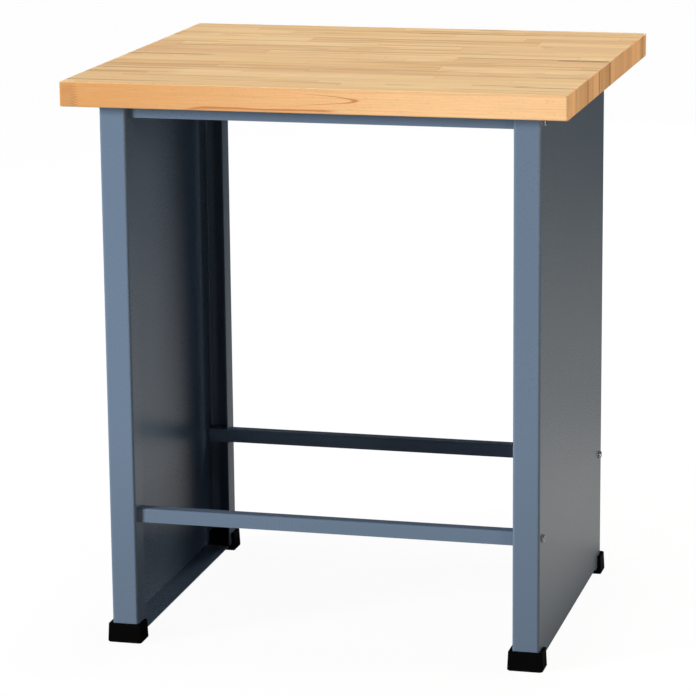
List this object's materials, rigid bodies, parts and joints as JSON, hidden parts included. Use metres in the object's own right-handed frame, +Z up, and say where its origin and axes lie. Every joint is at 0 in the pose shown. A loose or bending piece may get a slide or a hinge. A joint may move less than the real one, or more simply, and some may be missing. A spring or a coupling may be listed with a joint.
{
  "type": "modular workbench",
  "caption": "Free-standing workbench: a thick glued beech top on two folded sheet-steel side panels tied by folded rails, with plastic foot caps.",
  "frame": {"origin": "on the floor under the middle of the worktop", "axes": "+X to the bench's right, +Y to its back, +Z up"},
  "size_m": [0.74, 0.69, 0.85],
  "materials": {
    "beech": "satin lacquered beech block",
    "blue_grey_paint": "satin blue-grey textured powder coat",
    "black_plastic": "moulded matt black",
    "zinc_steel": "bright zinc plate"
  },
  "bodies": {
    "root": {"worktop": "beech", "left_side_panel": "blue_grey_paint", "right_side_panel": "blue_grey_paint", "front_stretcher": "blue_grey_paint", "rear_stretcher": "blue_grey_paint", "front_top_rail": "blue_grey_paint", "rear_top_rail": "blue_grey_paint", "front_left_foot": "black_plastic", "front_right_foot": "black_plastic", "rear_left_foot": "black_plastic", "rear_right_foot": "black_plastic", "front_stretcher_left_bolt": "zinc_steel", "front_stretcher_left_nut": "zinc_steel", "front_stretcher_right_bolt": "zinc_steel", "front_stretcher_right_nut": "zinc_steel", "rear_stretcher_left_bolt": "zinc_steel", "rear_stretcher_left_nut": "zinc_steel", "rear_stretcher_right_bolt": "zinc_steel", "rear_stretcher_right_nut": "zinc_steel", "front_top_rail_left_bolt": "zinc_steel", "front_top_rail_left_nut": "zinc_steel", "front_top_rail_right_bolt": "zinc_steel", "front_top_rail_right_nut": "zinc_steel", "rear_top_rail_left_bolt": "zinc_steel", "rear_top_rail_left_nut": "zinc_steel", "rear_top_rail_right_bolt": "zinc_steel", "rear_top_rail_right_nut": "zinc_steel", "worktop_screw_left_1": "zinc_steel", "worktop_screw_left_2": "zinc_steel", "worktop_screw_left_3": "zinc_steel", "worktop_screw_right_1": "zinc_steel", "worktop_screw_right_2": "zinc_steel", "worktop_screw_right_3": "zinc_steel"}
  },
  "joints": []
}
